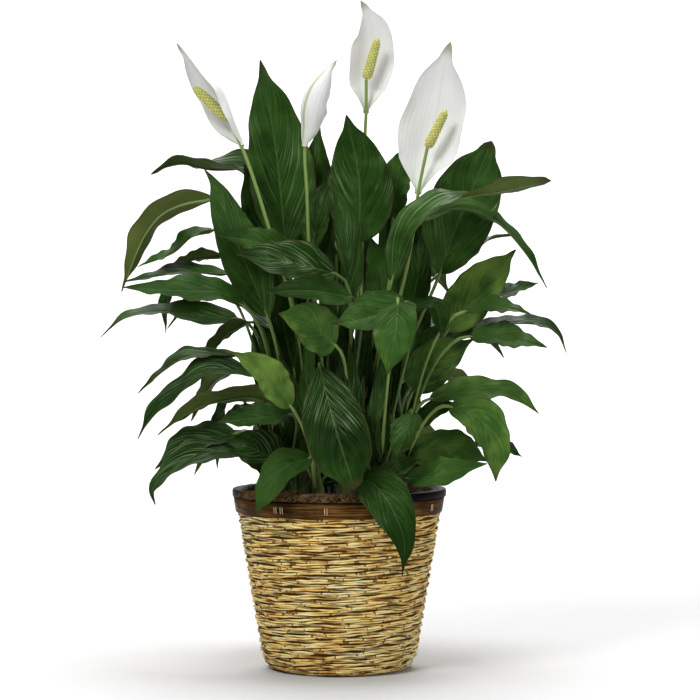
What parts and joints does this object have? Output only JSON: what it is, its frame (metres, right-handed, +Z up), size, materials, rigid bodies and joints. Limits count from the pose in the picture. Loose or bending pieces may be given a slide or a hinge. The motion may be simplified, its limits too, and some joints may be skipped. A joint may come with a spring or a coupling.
{
  "type": "potted peace lily",
  "caption": "Leafy flowering house plant with white hooded blooms and arching glossy leaves, in a plastic grow pot set inside a tapered woven basket with a flat wooden rim band.",
  "frame": {"origin": "the middle of the basket's flat bottom, on the surface it stands on", "axes": "+Z up along the basket's axis, -Y towards the viewer of the picture, +X to that viewer's right"},
  "size_m": [0.526, 0.3951, 0.7464],
  "materials": {
    "straw": "matt woven straw-coloured strands",
    "split_wood": "satin dark brown stained wood",
    "black_plastic": "glossy",
    "soil": "rough dark potting mix",
    "moss": "dry fibrous moss",
    "leaf": "glossy dark green, veined",
    "stalk": "satin pale green",
    "spathe": "soft white, faintly veined",
    "spadix": "matt pale yellow-green, bumpy"
  },
  "bodies": {
    "root": {"basket": "straw", "rim_band": "split_wood", "grow_pot": "black_plastic", "soil": "soil", "moss": "moss", "crown_tall_left": "leaf", "crown_tall_middle": "leaf", "crown_tall_right": "leaf", "crown_left_upper": "leaf", "crown_left_back": "leaf", "crown_left_middle": "leaf", "crown_centre_front": "leaf", "crown_left_low": "leaf", "crown_left_lowest": "leaf", "crown_front_left": "leaf", "crown_front": "leaf", "crown_front_right": "leaf", "crown_right_low": "leaf", "crown_right_middle": "leaf", "crown_right_upper": "leaf", "crown_back_left": "leaf", "crown_back": "leaf", "crown_back_right": "leaf", "flower_left_stalk": "stalk", "flower_left_spathe": "spathe", "flower_left_spadix": "spadix", "flower_closed_stalk": "stalk", "flower_closed_spathe": "spathe", "flower_closed_spadix": "spadix", "flower_top_stalk": "stalk", "flower_top_spathe": "spathe", "flower_top_spadix": "spadix", "flower_right_stalk": "stalk", "flower_right_spathe": "spathe", "flower_right_spadix": "spadix"}
  },
  "joints": []
}
